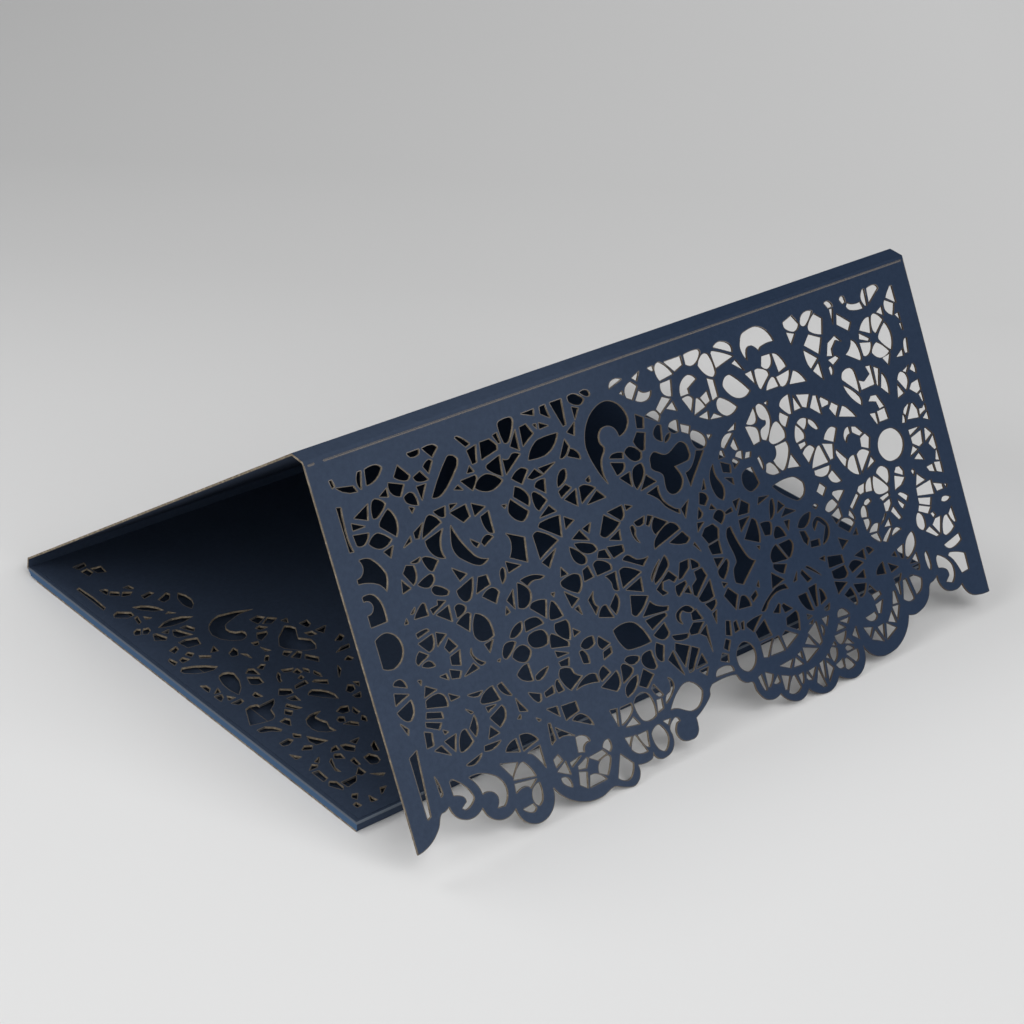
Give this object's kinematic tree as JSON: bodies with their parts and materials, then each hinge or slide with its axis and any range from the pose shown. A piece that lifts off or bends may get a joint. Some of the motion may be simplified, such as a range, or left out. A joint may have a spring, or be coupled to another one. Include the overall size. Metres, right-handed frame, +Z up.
{
  "type": "laser-cut pocket fold invitation",
  "caption": "Folded card standing open as a tent, with a lace-cut flap in front and a flat pocket behind it that holds a printed invitation.",
  "frame": {"origin": "on the table, under the middle of the open card's box", "axes": "+X along the folds, -Y towards the lace flap's side, +Z up from the table"},
  "size_m": [0.186, 0.16, 0.083],
  "materials": {
    "navy_card": "matte"
  },
  "bodies": {
    "root": {"pocket_fold_card": "navy_card"}
  },
  "joints": []
}
